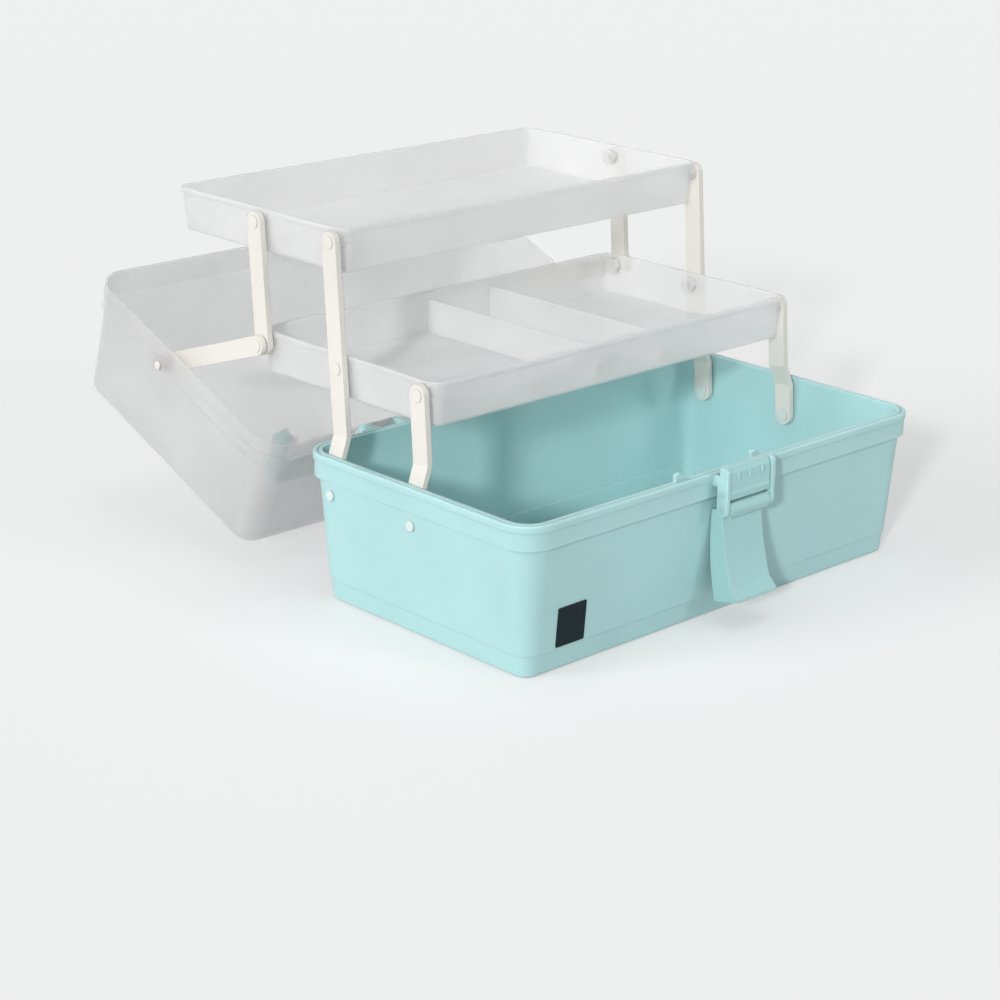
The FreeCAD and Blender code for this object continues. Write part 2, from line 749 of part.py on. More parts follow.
def latch_hook():
    """Hook plate above the lever, with a nose that can swing in over the lid's ledge."""
    half = hook_half_width
    y = latch_pin_y
    z = hook_pin_height
    top = base_height + hook_top_rise
    nose_y = -rim_y - lug_reach - hook_nose_gap
    front = y - latch_face_reach
    back = front + hook_thickness
    low = z - hook_barrel_radius
    nose_low = top - hook_nose_height
    points = [(front, low), (front, top - hook_top_slope), (back - hook_nose_gap, top),
              (nose_y, top), (nose_y, nose_low), (back, nose_low), (back, low)]
    plate = along_x(side_polygon(points), -half, half)
    body = plate.fuse(rod(hook_barrel_radius, -half, half, y, z))
    return body.cut(rod(latch_pin_radius + latch_pin_gap, -half, half, y, z)).removeSplitter()


def handle():
    """Carry handle, upright on the shut lid, swung open with it."""
    pivot_z = lid_top_z + handle_pivot_rise
    top_z = pivot_z + handle_height
    radius = handle_leg_width / 2
    outer_x = (handle_span + handle_leg_thickness) / 2
    inner_x = outer_x - handle_leg_thickness
    grip_z = top_z - handle_grip_thickness
    outline = Part.makeBox(2 * outer_x, 2 * radius, top_z - pivot_z, V(-outer_x, -radius, pivot_z))
    outline = outline.makeFillet(handle_grip_thickness, across_edges(outline, top_z))
    window = Part.makeBox(2 * inner_x, 4 * radius, grip_z, V(-inner_x, -2 * radius, 0))
    window = window.makeFillet(handle_grip_thickness, across_edges(window, grip_z))
    body = outline.cut(window)
    rims = [edge for edge in body.Edges
            if all(abs(abs(v.Y) - radius) < 0.001 for v in edge.Vertexes)
            and abs(edge.Vertexes[0].Y - edge.Vertexes[-1].Y) < 0.001
            and not all(abs(v.Z - pivot_z) < 0.001 for v in edge.Vertexes)]
    body = body.makeFillet(handle_edge_round, rims)
    body = body.fuse(both_sides(rod(radius, inner_x, outer_x, 0, pivot_z)))
    hole = rod(handle_pin_radius + pin_hole_gap, -outer_x - 1, outer_x + 1, 0, pivot_z)
    return opened(body.cut(hole).removeSplitter())


def handle_pins():
    """Pins from the lid's lugs through the handle's legs, with heads outside."""
    pivot_z = lid_top_z + handle_pivot_rise
    leg_outer = (handle_span + handle_leg_thickness) / 2
    lug_inner = leg_outer - handle_leg_thickness - handle_side_gap - handle_lug_thickness
    head_x = leg_outer + handle_side_gap
    pin = rod(handle_pin_radius, lug_inner, head_x, 0, pivot_z)
    head = rod(handle_pin_head_radius, head_x, head_x + handle_pin_head_thickness, 0, pivot_z)
    return [opened(shape) for shape in both_sides(pin.fuse(head).removeSplitter())]


middle_pivots = (front_middle_y, long_middle_y, short_middle_y)
upper_pivots = (long_upper_y, short_upper_y)

save(base_box(), "base_box")
save(lid(), "lid")
save(tray(middle_tray_centre, middle_rim_z, middle_pivots), "middle_tray")
save(tray(upper_tray_centre, upper_rim_z, upper_pivots), "upper_tray")
save(tray_dividers(middle_tray_centre, middle_rim_z), "middle_tray_dividers")

for name, shape in (("front_arm", arm(front_arm_pivot_y, arm_pivot_height, 1, True)),
                    ("long_arm", arm(long_arm_pivot_y, arm_pivot_height, 2, True)),
                    ("short_arm", arm(short_middle_y, middle_pivot_z, 1, False)),
                    ("lid_link", lid_link())):
    right, left = both_sides(shape)
    save(right, name + "_right")
    save(left, name + "_left")

base_pins = []
for y in (long_arm_pivot_y, front_arm_pivot_y):
    base_pins += both_sides(base_arm_pin(y))
save(base_pins, "base_arm_pins")

middle_pins = both_sides(tray_pin(front_middle_y, middle_pivot_z, arm_outer))
middle_pins += both_sides(tray_pin(long_middle_y, middle_pivot_z, arm_outer))
middle_pins += both_sides(tray_pin(short_middle_y, middle_pivot_z, link_outer))
save(middle_pins, "middle_tray_pins")

upper_pins = []
for y in upper_pivots:
    upper_pins += both_sides(tray_pin(y, upper_pivot_z, arm_outer))
save(upper_pins, "upper_tray_pins")

save(both_sides(lid_link_rivet()), "lid_link_rivets")
save([opened(shape) for shape in lid_link_pins()], "lid_link_pins")
save(hinge_rods(), "hinge_rods")
save(latch_rod(lever_pin_height), "latch_lever_pin")
save(latch_rod(hook_pin_height), "latch_hook_pin")
save(latch_lever(), "latch_lever")
save(latch_hook(), "latch_hook")
save(handle(), "handle")
save(handle_pins(), "handle_pins")
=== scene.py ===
import logging
import math
from dataclasses import dataclass, field
from enum import Enum

import bmesh
import bpy
from mathutils import Matrix, Vector


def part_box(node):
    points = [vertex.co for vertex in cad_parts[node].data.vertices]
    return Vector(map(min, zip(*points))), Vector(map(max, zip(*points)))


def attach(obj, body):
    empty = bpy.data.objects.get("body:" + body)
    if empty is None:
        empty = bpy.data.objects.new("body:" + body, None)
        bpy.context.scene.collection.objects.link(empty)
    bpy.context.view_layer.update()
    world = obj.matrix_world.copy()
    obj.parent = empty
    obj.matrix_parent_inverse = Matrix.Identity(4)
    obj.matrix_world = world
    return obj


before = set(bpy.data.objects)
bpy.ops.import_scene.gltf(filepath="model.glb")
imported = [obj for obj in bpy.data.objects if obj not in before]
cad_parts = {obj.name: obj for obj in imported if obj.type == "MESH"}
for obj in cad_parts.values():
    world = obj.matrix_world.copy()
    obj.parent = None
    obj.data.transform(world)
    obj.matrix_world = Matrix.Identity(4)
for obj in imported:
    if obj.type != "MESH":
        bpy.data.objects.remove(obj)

Colour = tuple[float, float, float]
Signal = bpy.types.NodeSocket | float | tuple[float, ...]
log = logging.getLogger("sewing_box")


class Gloss(Enum):
    """How rough a moulded surface comes out of its tool."""

    POLISHED = 0.22
    SATIN = 0.36
    FROSTED = 0.46


class Spot(Enum):
    """Bodies of the box that extra pieces ride on."""

    BASE = "base"
    HOOK = "latch_hook"


def opaque(colour: Colour) -> tuple[float, float, float, float]:
    """Add a full alpha to a colour."""
    return (*colour, 1.0)


class Wiring:
    """Small helper that adds nodes to a node tree and joins their sockets."""

    mix_first = 6
    mix_second = 7
    mix_result = 2

    def __init__(self, tree: bpy.types.NodeTree) -> None:
        """Keep the tree that the nodes go into."""
        self.tree = tree

    def add(self, kind: str, **settings: object) -> bpy.types.Node:
        """Add one node and set its own properties.

        Args:
            kind: Node type name.
            settings: Properties of the node by name.

        Returns:
            The new node.
        """
        node = self.tree.nodes.new(kind)
        for name, value in settings.items():
            setattr(node, name, value)
        return node

    def join(self, source: bpy.types.NodeSocket, target: bpy.types.NodeSocket) -> None:
        """Link an output socket to an input socket."""
        self.tree.links.new(source, target)

    def feed(self, target: bpy.types.NodeSocket, value: Signal) -> None:
        """Link a socket to an input, or write a plain value into it.

        Args:
            target: Input socket.
            value: Output socket, number or vector.
        """
        if isinstance(value, bpy.types.NodeSocket):
            self.join(value, target)
        else:
            target.default_value = value

    def math(self, operation: str, first: Signal, second: Signal = 0.0) -> bpy.types.NodeSocket:
        """Add a math node.

        Args:
            operation: Name of the math operation.
            first: First number or socket.
            second: Second number or socket.

        Returns:
            The result socket.
        """
        node = self.add("ShaderNodeMath", operation=operation)
        self.feed(node.inputs[0], first)
        self.feed(node.inputs[1], second)
        return node.outputs[0]

    def spread(self, value: Signal, start: tuple[Signal, Signal],
               result: tuple[Signal, Signal] = (0.0, 1.0)) -> bpy.types.NodeSocket:
        """Map a value smoothly from one range to another.

        Args:
            value: Number or socket to map.
            start: Both ends of the value's own range.
            result: What the ends become.

        Returns:
            The mapped value's socket.
        """
        node = self.add("ShaderNodeMapRange", interpolation_type="SMOOTHSTEP")
        for socket, number in zip(node.inputs, (value, *start, *result)):
            self.feed(socket, number)
        return node.outputs[0]

    def blend(self, share: Signal, first: Signal, second: Signal) -> bpy.types.NodeSocket:
        """Mix two colours.

        Args:
            share: Share of the second colour.
            first: First colour or socket.
            second: Second colour or socket.

        Returns:
            The mixed colour's socket.
        """
        node = self.add("ShaderNodeMix", data_type="RGBA")
        self.feed(node.inputs["Factor"], share)
        self.feed(node.inputs[self.mix_first], first)
        self.feed(node.inputs[self.mix_second], second)
        return node.outputs[self.mix_result]

    def here(self) -> bpy.types.NodeSocket:
        """Read the place on the piece, in the box's own frame."""
        return self.add("ShaderNodeTexCoord").outputs["Object"]

    def noise(self, size: Signal, detail: float, roughness: float = 0.5) -> bpy.types.NodeSocket:
        """Add a noise on the piece's own coordinates.

        Args:
            size: Size of its patches in metres.
            detail: How many finer layers it has.
            roughness: How strong the finer layers are.

        Returns:
            The noise's value.
        """
        node = self.add("ShaderNodeTexNoise")
        node.inputs["Detail"].default_value = detail
        node.inputs["Roughness"].default_value = roughness
        self.join(self.here(), node.inputs["Vector"])
        self.join(self.math("DIVIDE", 1.0, size), node.inputs["Scale"])
        return node.outputs["Fac"]

    def seen_rays(self) -> bpy.types.NodeSocket:
        """Find the rays that see the background, straight or in a reflection.

        Returns:
            A socket that is 1 for such a ray and 0 for the rays that carry light.
        """
        path = self.add("ShaderNodeLightPath")
        seen = self.math("MAXIMUM", path.outputs["Is Camera Ray"], path.outputs["Is Glossy Ray"])
        return self.math("MAXIMUM", seen, path.outputs["Is Transmission Ray"])


@dataclass(frozen=True)
class Effect:
    """A shader effect that several finishes share, kept as one node group."""

    name: str
    inputs: tuple[tuple[str, float], ...]
    outputs: tuple[tuple[str, str], ...]

    def place(self, wiring: Wiring, **values: float) -> bpy.types.Node:
        """Put the effect into a material.

        Args:
            wiring: Helper of the material's tree.
            values: The material's own numbers for the effect's inputs.

        Returns:
            The group's node in that material.
        """
        node = wiring.add("ShaderNodeGroup", node_tree=self.group())
        for label, number in values.items():
            node.inputs[label].default_value = number
        return node

    def group(self) -> bpy.types.NodeTree:
        """Build the node group once, or hand back the one that was built.

        Returns:
            The group.
        """
        found = bpy.data.node_groups.get(self.name)
        if found is not None:
            return found
        tree = bpy.data.node_groups.new(self.name, "ShaderNodeTree")
        for label, number in self.inputs:
            socket = tree.interface.new_socket(name=label, in_out="INPUT", socket_type="NodeSocketFloat")
            socket.default_value = number
        for label, kind in self.outputs:
            tree.interface.new_socket(name=label, in_out="OUTPUT", socket_type=kind)
        wiring = Wiring(tree)
        given = wiring.add("NodeGroupInput").outputs
        self.fill(wiring, given, wiring.add("NodeGroupOutput").inputs)
        return tree

    def fill(self, wiring: Wiring, given: bpy.types.NodeOutputs, out: bpy.types.NodeInputs) -> None:
        """Wire the effect between the group's inputs and outputs."""
        raise NotImplementedError


@dataclass(frozen=True)
class MouldedGrain(Effect):
    """Fine grain and slow waves of a moulded skin."""

    name: str = "moulded_grain"
    inputs: tuple[tuple[str, float], ...] = (("Grain", 0.0006), ("Wave", 0.05), ("Wave Share", 0.5))
    outputs: tuple[tuple[str, str], ...] = (("Height", "NodeSocketFloat"), ("Cloud", "NodeSocketFloat"))
    grain_detail: float = 3.0
    wave_detail: float = 2.0
    wave_roughness: float = 0.4
    cloud_range: tuple[float, float] = (0.3, 0.7)

    def fill(self, wiring: Wiring, given: bpy.types.NodeOutputs, out: bpy.types.NodeInputs) -> None:
        """Add up both noises as a height, and turn the slow one into clouds.

        Args:
            wiring: Helper of the group's tree.
            given: What comes into the group.
            out: What the group puts out.
        """
        grain = wiring.noise(given["Grain"], self.grain_detail)
        wave = wiring.noise(given["Wave"], self.wave_detail, self.wave_roughness)
        slow = wiring.math("MULTIPLY", wave, given["Wave Share"])
        wiring.join(wiring.math("ADD", grain, slow), out["Height"])
        wiring.join(wiring.spread(wave, self.cloud_range), out["Cloud"])


@dataclass(frozen=True)
class SoftenedEdge(Effect):
    """Rounded edge of a moulding and the mask of its worn rim."""

    name: str = "softened_edge"
    inputs: tuple[tuple[str, float], ...] = (("Radius", 0.0006), ("Wear", 0.012))
    outputs: tuple[tuple[str, str], ...] = (("Normal", "NodeSocketVector"), ("Edge", "NodeSocketFloat"))
    bevel_samples: int = 4
    turned_away: tuple[float, float] = (0.995, 0.8)
    patch_detail: float = 2.0
    patch_range: tuple[float, float] = (0.35, 0.65)
    patch_strength: tuple[float, float] = (0.35, 1.0)

    def fill(self, wiring: Wiring, given: bpy.types.NodeOutputs, out: bpy.types.NodeInputs) -> None:
        """Round the normals, and mark where they leave the flat face.

        Args:
            wiring: Helper of the group's tree.
            given: What comes into the group.
            out: What the group puts out.
        """
        bevel = wiring.add("ShaderNodeBevel", samples=self.bevel_samples)
        wiring.join(given["Radius"], bevel.inputs["Radius"])
        same = wiring.add("ShaderNodeVectorMath", operation="DOT_PRODUCT")
        wiring.join(bevel.outputs["Normal"], same.inputs[0])
        wiring.join(wiring.add("ShaderNodeNewGeometry").outputs["Normal"], same.inputs[1])
        edge = wiring.spread(same.outputs["Value"], self.turned_away)
        patch = wiring.noise(given["Wear"], self.patch_detail)
        worn = wiring.spread(patch, self.patch_range, self.patch_strength)
        wiring.join(wiring.math("MULTIPLY", edge, worn), out["Edge"])
        wiring.join(bevel.outputs["Normal"], out["Normal"])


@dataclass(frozen=True)
class SettledDust(Effect):
    """Mask of fine dust on faces that look up."""

    name: str = "settled_dust"
    inputs: tuple[tuple[str, float], ...] = (("Patch", 0.03), ("Amount", 0.2))
    outputs: tuple[tuple[str, str], ...] = (("Dust", "NodeSocketFloat"),)
    upward_range: tuple[float, float] = (0.6, 1.0)
    patch_detail: float = 6.0
    patch_range: tuple[float, float] = (0.35, 0.75)
    patch_strength: tuple[float, float] = (0.2, 1.0)

    def fill(self, wiring: Wiring, given: bpy.types.NodeOutputs, out: bpy.types.NodeInputs) -> None:
        """Lay patchy dust on whatever faces up.

        Args:
            wiring: Helper of the group's tree.
            given: What comes into the group.
            out: What the group puts out.
        """
        facing = wiring.add("ShaderNodeSeparateXYZ")
        wiring.join(wiring.add("ShaderNodeNewGeometry").outputs["Normal"], facing.inputs[0])
        upward = wiring.spread(facing.outputs["Z"], self.upward_range)
        patch = wiring.noise(given["Patch"], self.patch_detail)
        patchy = wiring.spread(patch, self.patch_range, self.patch_strength)
        amount = wiring.math("MULTIPLY", patchy, given["Amount"])
        wiring.join(wiring.math("MULTIPLY", upward, amount), out["Dust"])


@dataclass(frozen=True)
class Finish:
    """A surface finish, made into one material."""

    name: str

    def material(self) -> bpy.types.Material:
        """Make the material once, or hand back the one that was made.

        Returns:
            The finished material.
        """
        found = bpy.data.materials.get(self.name)
        if found is not None:
            return found
        material = bpy.data.materials.new(self.name)
        material.use_nodes = True
        self.wire(Wiring(material.node_tree), material.node_tree.nodes["Principled BSDF"].inputs)
        return material

    def wire(self, wiring: Wiring, surface: bpy.types.NodeInputs) -> None:
        """Feed the material's shader."""
        raise NotImplementedError


@dataclass(frozen=True)
class MouldedPlastic(Finish):
    """Injection-moulded plastic: grain, slow waves, softened edges and a little dust."""

    colour: Colour
    gloss: Gloss = Gloss.SATIN
    gloss_spread: tuple[float, float] = (-0.04, 0.06)
    cloud_share: float = 0.05
    edge_lift: float = 0.25
    grain_size: float = 0.0007
    grain_depth: float = 0.000012
    grain_range: tuple[float, float] = (0.3, 1.2)
    grain_strength: float = 0.35
    dust: float = 0.12
    dust_colour: Colour = (0.72, 0.71, 0.69)
    dust_roughness: float = 0.4
    body_alpha: float = 1.0
    shade_share: float = 0.35
    milkiness: float = 0.0
    milk_reach: float = 0.006
    milk_tint: Colour = (1.0, 1.0, 1.0)
    shine: float = 0.5
    bending: float = 1.47

    def wire(self, wiring: Wiring, surface: bpy.types.NodeInputs) -> None:
        """Feed the material's shader.

        Args:
            wiring: Helper of the material's tree.
            surface: Inputs of its shader.
        """
        grain = MouldedGrain().place(wiring, Grain=self.grain_size).outputs
        edge = SoftenedEdge().place(wiring).outputs
        dust = SettledDust().place(wiring, Amount=self.dust).outputs["Dust"]
        wiring.join(self.skin(wiring, grain["Cloud"], edge["Edge"], dust), surface["Base Color"])
        wiring.join(self.roughness(wiring, grain["Height"], dust), surface["Roughness"])
        bump = wiring.add("ShaderNodeBump")
        bump.inputs["Strength"].default_value = self.grain_strength
        bump.inputs["Distance"].default_value = self.grain_depth
        wiring.join(grain["Height"], bump.inputs["Height"])
        wiring.join(edge["Normal"], bump.inputs["Normal"])
        wiring.join(bump.outputs["Normal"], surface["Normal"])
        surface["Alpha"].default_value = self.body_alpha
        if self.body_alpha < 1:
            wiring.join(self.clearness(wiring), surface["Alpha"])
        surface["Subsurface Weight"].default_value = self.milkiness
        surface["Subsurface Radius"].default_value = self.milk_tint
        surface["Subsurface Scale"].default_value = self.milk_reach
        surface["Specular IOR Level"].default_value = self.shine
        surface["IOR"].default_value = self.bending

    def skin(self, wiring: Wiring, cloud: Signal, edge: Signal, dust: Signal) -> bpy.types.NodeSocket:
        """Mix the colour of the skin from its clouds, its worn edges and its dust.

        Args:
            wiring: Helper of the material's tree.
            cloud: Mask of the slow waves.
            edge: Mask of the worn edges.
            dust: Mask of the dust.

        Returns:
            The colour's socket.
        """
        deep = tuple(value * (1 - self.cloud_share) for value in self.colour)
        light = tuple(min(1.0, value * (1 + self.cloud_share)) for value in self.colour)
        pale = tuple(value + (1 - value) * self.edge_lift for value in self.colour)
        colour = wiring.blend(cloud, opaque(deep), opaque(light))
        colour = wiring.blend(edge, colour, opaque(pale))
        return wiring.blend(dust, colour, opaque(self.dust_colour))

    def roughness(self, wiring: Wiring, height: Signal, dust: Signal) -> bpy.types.NodeSocket:
        """Let the gloss vary with the grain, and dull it where dust lies.

        Args:
            wiring: Helper of the material's tree.
            height: Height of the grain.
            dust: Mask of the dust.

        Returns:
            The roughness's socket.
        """
        ends = tuple(self.gloss.value + step for step in self.gloss_spread)
        plain = wiring.spread(height, self.grain_range, ends)
        return wiring.math("ADD", plain, wiring.math("MULTIPLY", dust, self.dust_roughness))

    def clearness(self, wiring: Wiring) -> bpy.types.NodeSocket:
        """Let a frosted wall cast a lighter shadow than a solid one.

        Args:
            wiring: Helper of the material's tree.

        Returns:
            The alpha's socket.
        """
        shaded = wiring.add("ShaderNodeLightPath").outputs["Is Shadow Ray"]
        cut = wiring.math("MULTIPLY", shaded, self.body_alpha * (1 - self.shade_share))
        return wiring.math("SUBTRACT", self.body_alpha, cut)


@dataclass(frozen=True)
class DrawnSteel(Finish):
    """Thin round steel wire with fine lines along its length."""

    colour: Colour = (0.56, 0.56, 0.57)
    dull_share: float = 0.8
    line_size: float = 0.0004
    line_stretch: tuple[float, float, float] = (0.05, 1.0, 1.0)
    line_range: tuple[float, float] = (0.3, 0.7)
    roughness: tuple[float, float] = (0.24, 0.4)

    def wire(self, wiring: Wiring, surface: bpy.types.NodeInputs) -> None:
        """Feed the material's shader.

        Args:
            wiring: Helper of the material's tree.
            surface: Inputs of its shader.
        """
        stretch = wiring.add("ShaderNodeMapping")
        stretch.inputs["Scale"].default_value = self.line_stretch
        wiring.join(wiring.here(), stretch.inputs["Vector"])
        lines = wiring.add("ShaderNodeTexNoise")
        lines.inputs["Scale"].default_value = 1 / self.line_size
        wiring.join(stretch.outputs["Vector"], lines.inputs["Vector"])
        dull = tuple(value * self.dull_share for value in self.colour)
        shade = wiring.blend(lines.outputs["Fac"], opaque(dull), opaque(self.colour))
        wiring.join(shade, surface["Base Color"])
        rough = wiring.spread(lines.outputs["Fac"], self.line_range, self.roughness)
        wiring.join(rough, surface["Roughness"])
        surface["Metallic"].default_value = 1.0


@dataclass(frozen=True)
class FloorPaper(Finish):
    """Plain pale paper that glows a little for the rays that see it."""

    colour: Colour = (0.6, 0.6, 0.597)
    roughness: float = 0.85
    shine: float = 0.1
    glow: float = 0.3
    glow_colour: Colour = (1.0, 1.0, 1.0)

    def wire(self, wiring: Wiring, surface: bpy.types.NodeInputs) -> None:
        """Feed the material's shader.

        Args:
            wiring: Helper of the material's tree.
            surface: Inputs of its shader.
        """
        surface["Base Color"].default_value = opaque(self.colour)
        surface["Roughness"].default_value = self.roughness
        surface["Specular IOR Level"].default_value = self.shine
        surface["Emission Color"].default_value = opaque(self.glow_colour)
        wiring.join(wiring.math("MULTIPLY", wiring.seen_rays(), self.glow), surface["Emission Strength"])


MINT = MouldedPlastic(
    "mint_plastic", (0.428, 0.66, 0.664), cloud_share=0.02,
    milkiness=0.7, milk_reach=0.003, milk_tint=(0.8, 1.0, 1.0),
)
# Latch mint: the tub's own mint painted darker as painted shade, so the lever and hook read darker than the
# front wall
SHADED_LATCH_MINT = MouldedPlastic(
    "latch_mint_painted_shade", (0.38, 0.625, 0.625), cloud_share=0.02,
    milkiness=0.4, milk_reach=0.0015,
)
FROSTED_LID = MouldedPlastic(
    "frosted_lid", (0.615, 0.615, 0.612), Gloss.FROSTED, cloud_share=0.04, dust=0.05,
    body_alpha=0.36, milkiness=1.0,
)
FROSTED_TRAY = MouldedPlastic(
    "frosted_tray", (0.73, 0.73, 0.727), Gloss.FROSTED, cloud_share=0.03, dust=0.05,
    body_alpha=0.5, milkiness=1.0,
)
IVORY = MouldedPlastic("ivory_plastic", (0.725, 0.70, 0.65), cloud_share=0.02, dust=0.05)
PEARL = MouldedPlastic("pearl_plastic", (0.64, 0.72, 0.71), Gloss.POLISHED, cloud_share=0.02, dust=0.03)
DARK_PLATE = MouldedPlastic("dark_plate", (0.0037, 0.013, 0.0194), edge_lift=0.05, dust=0.0, shine=0.15)
HINGE_STEEL = DrawnSteel("pin_wire")
FLOOR_PAPER = FloorPaper("floor_paper")


def dress(node: str, finish: Finish) -> None:
    """Give one solid of the frame its finish.

    Args:
        node: Name of the solid.
        finish: Finish that it gets.
    """
    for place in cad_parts[node].material_slots:
        place.material = finish.material()
    log.info("dressed %s as %s", node, finish.name)


def settle(mesh: bmesh.types.BMesh, name: str, finish: Finish) -> bpy.types.Object:
    """Turn a finished mesh into an object of the scene.

    Args:
        mesh: Mesh in the box's own frame.
        name: Name of the object.
        finish: Finish that it gets.

    Returns:
        The new object.
    """
    data = bpy.data.meshes.new(name)
    mesh.to_mesh(data)
    mesh.free()
    data.materials.append(finish.material())
    made = bpy.data.objects.new(name, data)
    bpy.context.scene.collection.objects.link(made)
    log.info("built %s", name)
    return made


def round_off(mesh: bmesh.types.BMesh, edges: list[bmesh.types.BMEdge], radius: float, steps: int) -> None:
    """Round some edges of a mesh.

    Args:
        mesh: Mesh that the edges belong to.
        edges: Edges to round.
        radius: Radius of the rounding.
        steps: How many faces it has.
    """
    bmesh.ops.bevel(mesh, geom=edges, offset=radius, segments=steps, profile=0.5,
                    affect="EDGES", material=-1)


@dataclass
class BaseTub:
    """Drafted tub with its hinge rods, arm pins and the blank plate on its front."""

    plate_left: float = -0.1337
    plate_right: float = -0.1124
    plate_low: float = 0.0142
    plate_high: float = 0.0378
    plate_depth: float = 0.0006
    plate_round: float = 0.0008
    plate_round_steps: int = 4
    plate_edge: float = 0.00024
    plate_edge_steps: int = 2
    wall_foot: float = -0.0845
    wall_lean: float = 0.0076
    wall_height: float = 0.091

    def build(self) -> None:
        """Dress the tub and add its plate."""
        dress("base_box", MINT)
        dress("base_arm_pins", PEARL)
        dress("hinge_rods", HINGE_STEEL)
        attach(self.front_plate(), Spot.BASE.value)

    def front_plate(self) -> bpy.types.Object:
        """Build the thin blank plate that lies half sunk on the leaning front wall.

        Returns:
            The plate.
        """
        mesh = bmesh.new()
        bmesh.ops.create_cube(mesh, size=1.0)
        size = (self.plate_right - self.plate_left, 2 * self.plate_depth, self.plate_high - self.plate_low)
        bmesh.ops.scale(mesh, vec=size, verts=mesh.verts)
        corners = [edge for edge in mesh.edges if edge.verts[0].co.y * edge.verts[1].co.y < 0]
        round_off(mesh, corners, self.plate_round, self.plate_round_steps)
        front = [edge for edge in mesh.edges if all(vert.co.y < 0 for vert in edge.verts)]
        round_off(mesh, front, self.plate_edge, self.plate_edge_steps)
        slope = self.wall_lean / self.wall_height
        centre_x = (self.plate_left + self.plate_right) / 2
        centre_z = (self.plate_low + self.plate_high) / 2
        place = Matrix.Translation((centre_x, self.wall_foot - slope * centre_z, centre_z))
        lean = Matrix.Rotation(math.atan(slope), 4, "X")
        bmesh.ops.transform(mesh, matrix=place @ lean, verts=mesh.verts)
        bmesh.ops.recalc_face_normals(mesh, faces=mesh.faces)
        return settle(mesh, "front_plate", DARK_PLATE)


@dataclass
class HingedLid:
    """See-through lid with the pins that its links reach for."""

    pins: str = "lid_link_pins"
    links: tuple[str, ...] = ("lid_link_left", "lid_link_right", "lid_link_rivets")

    def build(self) -> None:
        """Dress the lid, its pins and its links."""
        dress("lid", FROSTED_LID)
        for node in (self.pins, *self.links):
            dress(node, IVORY)


@dataclass
class CarryHandle:
    """Folding handle on the lid's top panel."""

    nodes: tuple[str, ...] = ("handle", "handle_pins")

    def build(self) -> None:
        """Dress the handle and its pins."""
        for node in self.nodes:
            dress(node, MINT)


@dataclass
class TrayStack:
    """The two swinging trays with the dividers and their pins."""

    trays: tuple[str, ...] = ("middle_tray", "upper_tray", "middle_tray_dividers")
    pins: tuple[str, ...] = ("middle_tray_pins", "upper_tray_pins")

    def build(self) -> None:
        """Dress the trays and their pins."""
        for node in self.trays:
            dress(node, FROSTED_TRAY)
        for node in self.pins:
            dress(node, IVORY)


@dataclass
class FoldingArms:
    """Arms at both ends that carry the trays."""

    kinds: tuple[str, ...] = ("front_arm", "long_arm", "short_arm")
    sides: tuple[str, ...] = ("left", "right")

    def build(self) -> None:
        """Dress the arms at both ends."""
        for kind in self.kinds:
            for side in self.sides:
                dress(f"{kind}_{side}", IVORY)


@dataclass
class FrontLatch:
    """Lever and hook plate at the front, with three small ribs near the plate's top."""

    nodes: tuple[str, ...] = ("latch_lever", "latch_hook", "latch_lever_pin", "latch_hook_pin")
    rib_places: tuple[float, ...] = (-0.0105, -0.001, 0.0095)
    rib_width: float = 0.0019
    rib_height: float = 0.0042
    rib_proud: float = 0.0007
    rib_seat: float = 0.0008
    rib_drop: float = 0.0038
    rib_round: float = 0.00035
    rib_round_steps: int = 3

    def build(self) -> None:
        """Dress the lever, the hook plate and their pins in the mint darkened as painted shade, and add the
        ribs.
        """
        for node in self.nodes:
            dress(node, SHADED_LATCH_MINT)
        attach(self.hook_ribs(), Spot.HOOK.value)

    def hook_ribs(self) -> bpy.types.Object:
        """Build the short upright ribs on the hook plate's front, in the same mint darkened as painted
        shade.

        Returns:
            The ribs as one piece.
        """
        low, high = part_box("latch_hook")
        centre_y = low[1] + (self.rib_seat - self.rib_proud) / 2
        centre_z = high[2] - self.rib_drop - self.rib_height / 2
        size = (self.rib_width, self.rib_proud + self.rib_seat, self.rib_height)
        mesh = bmesh.new()
        for place in self.rib_places:
            block = bmesh.ops.create_cube(mesh, size=1.0)["verts"]
            bmesh.ops.scale(mesh, vec=size, verts=block)
            bmesh.ops.translate(mesh, vec=(place, centre_y, centre_z), verts=block)
        front = [edge for edge in mesh.edges if all(vert.co.y < low[1] for vert in edge.verts)]
        round_off(mesh, front, self.rib_round, self.rib_round_steps)
        bmesh.ops.recalc_face_normals(mesh, faces=mesh.faces)
        return settle(mesh, "hook_ribs", SHADED_LATCH_MINT)


@dataclass(frozen=True)
class SoftLamp:
    """One soft lamp far away.

    Attributes:
        name: Name of the lamp.
        turn: Degrees round from straight in front, to the right where positive.
        rise: Degrees above the floor.
        softness: Angle in degrees that the lamp fills.
        level: Brightness that it gives a white surface facing it.
        distance: How far away it hangs.
    """

    name: str
    turn: float
    rise: float
    softness: float
    level: float
    distance: float = 3.6

    def hang(self) -> None:
        """Put the lamp in its place and turn it to the box."""
        data = bpy.data.lights.new(self.name, "SUN")
        data.angle = math.radians(self.softness)
        data.energy = self.level * math.pi
        turn = math.radians(self.turn)
        rise = math.radians(self.rise)
        place = Vector((math.sin(turn) * math.cos(rise), -math.cos(turn) * math.cos(rise), math.sin(rise)))
        lamp = bpy.data.objects.new(self.name, data)
        lamp.location = place * self.distance
        lamp.rotation_mode = "QUATERNION"
        lamp.rotation_quaternion = place.to_track_quat("Z", "Y")
        bpy.context.scene.collection.objects.link(lamp)
        log.info("hung %s", self.name)


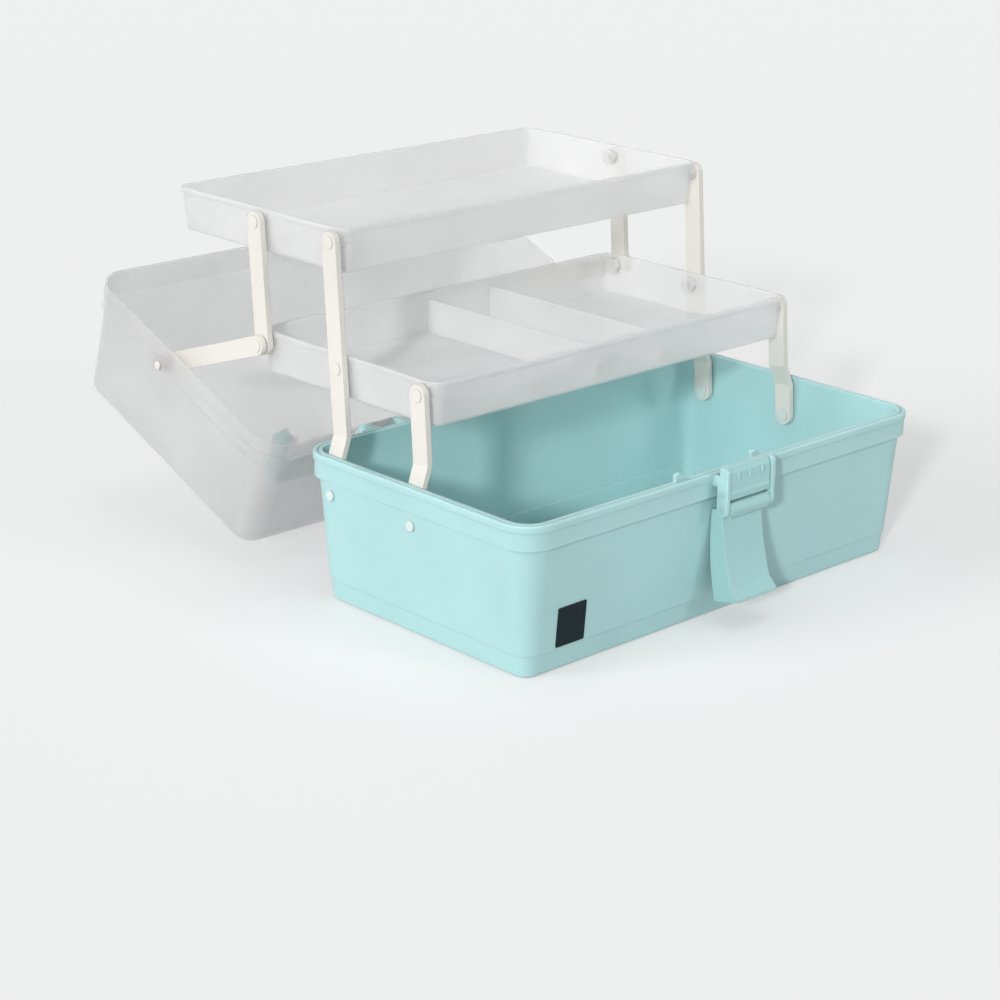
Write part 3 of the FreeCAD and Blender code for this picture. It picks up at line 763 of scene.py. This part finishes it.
@dataclass
class Viewpoint:
    """Camera where the photograph was taken from."""

    eye: Vector = field(default_factory=lambda: Vector((-0.9954, -0.9562, 0.5266)))
    azimuth: float = -43.27
    elevation: float = 19.25
    roll: float = 0.59
    lens_pixels: float = 2442.4
    photo_pixels: float = 1000.0
    sensor: float = 36.0

    def stand(self) -> None:
        """Stand the camera in its place."""
        turn, drop, roll = (math.radians(angle) for angle in (self.azimuth, self.elevation, self.roll))
        ahead = Vector((-math.sin(turn) * math.cos(drop), math.cos(turn) * math.cos(drop), -math.sin(drop)))
        right = ahead.cross(Vector((0, 0, 1))).normalized()
        up = right.cross(ahead)
        across = right * math.cos(roll) + up * math.sin(roll)
        above = up * math.cos(roll) - right * math.sin(roll)
        data = bpy.data.cameras.new("camera")
        data.sensor_width = self.sensor
        data.lens = self.lens_pixels * self.sensor / self.photo_pixels
        camera = bpy.data.objects.new("camera", data)
        facing = Matrix((across, above, -ahead)).transposed().to_4x4()
        camera.matrix_world = Matrix.Translation(self.eye) @ facing
        bpy.context.scene.collection.objects.link(camera)
        bpy.context.scene.camera = camera


@dataclass
class Studio:
    """Pale floor, soft lamps, even room light and the camera."""

    floor_reach: float = 6.0
    floor_gap: float = 0.0002
    room_colour: Colour = (0.97, 0.985, 1.0)
    room_level: float = 0.35
    seen_level: float = 0.92
    lamps: tuple[SoftLamp, ...] = (
        SoftLamp("key_lamp", turn=-60.0, rise=20.0, softness=5.0, level=0.6),
        SoftLamp("fill_lamp", turn=20.0, rise=24.0, softness=10.0, level=0.14),
        SoftLamp("side_lamp", turn=-110.0, rise=25.0, softness=22.0, level=0.35),
        SoftLamp("top_lamp", turn=45.0, rise=84.0, softness=38.0, level=0.17),
    )

    def build(self) -> None:
        """Set up everything round the box."""
        self.floor()
        self.room()
        for lamp in self.lamps:
            lamp.hang()
        Viewpoint().stand()
        bpy.context.scene.view_settings.view_transform = "Standard"

    def floor(self) -> bpy.types.Object:
        """Lay the plain pale floor, a hair under the box.

        Returns:
            The floor.
        """
        mesh = bmesh.new()
        bmesh.ops.create_grid(mesh, x_segments=1, y_segments=1, size=self.floor_reach)
        bmesh.ops.translate(mesh, vec=(0, 0, -self.floor_gap), verts=mesh.verts)
        return settle(mesh, "floor", FLOOR_PAPER)

    def room(self) -> None:
        """Fill the room with even light, and show it pale behind the floor."""
        world = bpy.data.worlds.new("studio_room")
        world.use_nodes = True
        wiring = Wiring(world.node_tree)
        back = world.node_tree.nodes["Background"].inputs
        back["Color"].default_value = opaque(self.room_colour)
        ends = (self.room_level, self.seen_level)
        wiring.join(wiring.spread(wiring.seen_rays(), (0.0, 1.0), ends), back["Strength"])
        bpy.context.scene.world = world


def main() -> None:
    """Build every sub-assembly in order."""
    logging.basicConfig(level=logging.INFO, format="%(name)s: %(message)s")
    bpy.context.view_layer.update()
    for part in (BaseTub(), HingedLid(), CarryHandle(), TrayStack(), FoldingArms(), FrontLatch(), Studio()):
        part.build()
        log.info("finished %s", type(part).__name__)


if __name__ == "__main__":
    main()
